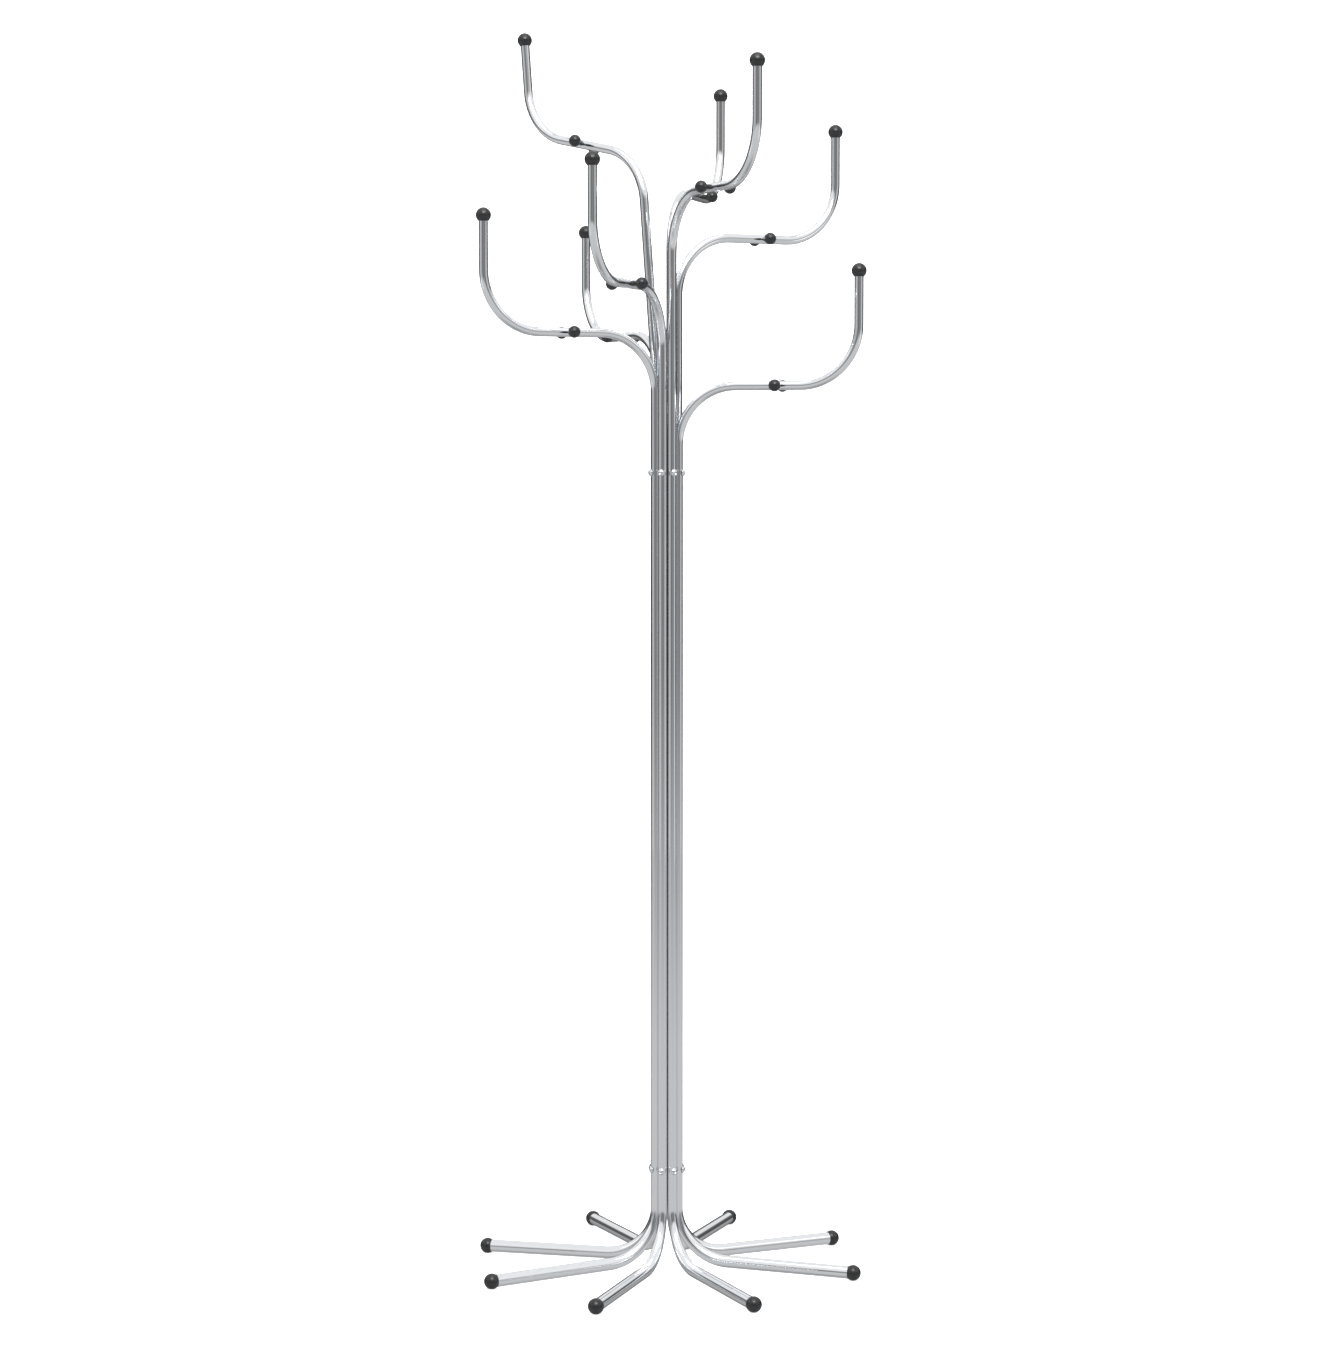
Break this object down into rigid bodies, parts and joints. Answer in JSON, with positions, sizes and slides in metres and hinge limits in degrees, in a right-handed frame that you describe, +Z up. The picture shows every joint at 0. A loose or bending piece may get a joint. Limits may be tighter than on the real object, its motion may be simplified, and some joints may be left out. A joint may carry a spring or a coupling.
{
  "type": "standing coat rack",
  "caption": "Freestanding coat rack of bent chromed tubes bundled into a column, spreading into ball-tipped feet below and ball-tipped hooked arms with peg knobs above.",
  "frame": {"origin": "on the column's axis at floor level", "axes": "+Z up the column, -Y towards the front, +X to the right as seen from the front"},
  "size_m": [0.581, 0.5805, 1.9114],
  "materials": {
    "chromed_tube": "polished chrome plate on bent steel tube",
    "black_plastic": "moulded, semi-gloss",
    "chromed_screw": "polished",
    "zinc_core": "dull zinc plate"
  },
  "bodies": {
    "root": {"bent_tube_1": "chromed_tube", "bent_tube_2": "chromed_tube", "bent_tube_3": "chromed_tube", "bent_tube_4": "chromed_tube", "bent_tube_5": "chromed_tube", "bent_tube_6": "chromed_tube", "bent_tube_7": "chromed_tube", "bent_tube_8": "chromed_tube", "arm_ball_1": "black_plastic", "arm_ball_2": "black_plastic", "arm_ball_3": "black_plastic", "arm_ball_4": "black_plastic", "arm_ball_5": "black_plastic", "arm_ball_6": "black_plastic", "arm_ball_7": "black_plastic", "arm_ball_8": "black_plastic", "foot_ball_1": "black_plastic", "foot_ball_2": "black_plastic", "foot_ball_3": "black_plastic", "foot_ball_4": "black_plastic", "foot_ball_5": "black_plastic", "foot_ball_6": "black_plastic", "foot_ball_7": "black_plastic", "foot_ball_8": "black_plastic", "peg_knob_stud_1": "black_plastic", "peg_knob_stud_2": "black_plastic", "peg_knob_stud_3": "black_plastic", "peg_knob_stud_4": "black_plastic", "peg_knob_stud_5": "black_plastic", "peg_knob_stud_6": "black_plastic", "peg_knob_stud_7": "black_plastic", "peg_knob_stud_8": "black_plastic", "peg_knob_cap_1": "black_plastic", "peg_knob_cap_2": "black_plastic", "peg_knob_cap_3": "black_plastic", "peg_knob_cap_4": "black_plastic", "peg_knob_cap_5": "black_plastic", "peg_knob_cap_6": "black_plastic", "peg_knob_cap_7": "black_plastic", "peg_knob_cap_8": "black_plastic", "upper_screw_1": "chromed_screw", "upper_screw_2": "chromed_screw", "upper_screw_3": "chromed_screw", "upper_screw_4": "chromed_screw", "upper_screw_5": "chromed_screw", "upper_screw_6": "chromed_screw", "upper_screw_7": "chromed_screw", "upper_screw_8": "chromed_screw", "lower_screw_1": "chromed_screw", "lower_screw_2": "chromed_screw", "lower_screw_3": "chromed_screw", "lower_screw_4": "chromed_screw", "lower_screw_5": "chromed_screw", "lower_screw_6": "chromed_screw", "lower_screw_7": "chromed_screw", "lower_screw_8": "chromed_screw", "upper_hub_core": "zinc_core", "lower_hub_core": "zinc_core"}
  },
  "joints": []
}
